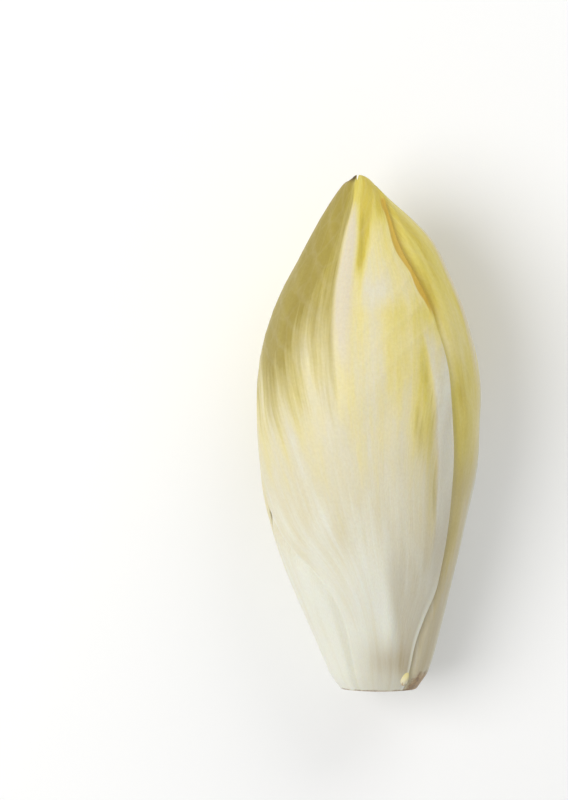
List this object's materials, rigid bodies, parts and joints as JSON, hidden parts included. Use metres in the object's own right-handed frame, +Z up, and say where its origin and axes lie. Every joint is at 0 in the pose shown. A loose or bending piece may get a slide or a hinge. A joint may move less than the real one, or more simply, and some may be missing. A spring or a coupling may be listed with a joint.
{
  "type": "belgian endive head",
  "caption": "Blanched chicory head lying on its side: pale crisp leaves wrapped round a short stem cone, pointed at the tip, cut flat at the base.",
  "frame": {"origin": "middle of the head's bounding box, on the surface that the head lies on", "axes": "+Y along the head from the cut base to the leaf tips, +X to the right seen from above with the tips away, +Z up"},
  "size_m": [0.0586, 0.138, 0.0559],
  "materials": {
    "outer_leaf": "smooth waxy leaf skin, white at the foot, cream in the middle and yellow towards the tip, with fine raised veins",
    "inner_leaf": "smooth pale leaf, white midrib and yellow blade",
    "heart_leaf": "tender yellow leaf, satin",
    "stem": "matte cut plant flesh, browned and dried on the cut face",
    "bud": "satin, greenish yellow"
  },
  "bodies": {
    "root": {"outer_leaf_front": "outer_leaf", "outer_leaf_under": "outer_leaf", "outer_leaf_right": "outer_leaf", "outer_leaf_left": "outer_leaf", "outer_leaf_back": "outer_leaf", "inner_leaf_1": "inner_leaf", "inner_leaf_2": "inner_leaf", "inner_leaf_3": "inner_leaf", "inner_leaf_4": "inner_leaf", "inner_leaf_5": "inner_leaf", "inner_leaf_6": "inner_leaf", "inner_leaf_7": "inner_leaf", "inner_leaf_8": "inner_leaf", "heart_leaf_1": "heart_leaf", "heart_leaf_2": "heart_leaf", "heart_leaf_3": "heart_leaf", "heart_leaf_4": "heart_leaf", "heart_leaf_5": "heart_leaf", "stem_core": "stem", "base_bud": "bud"}
  },
  "joints": []
}
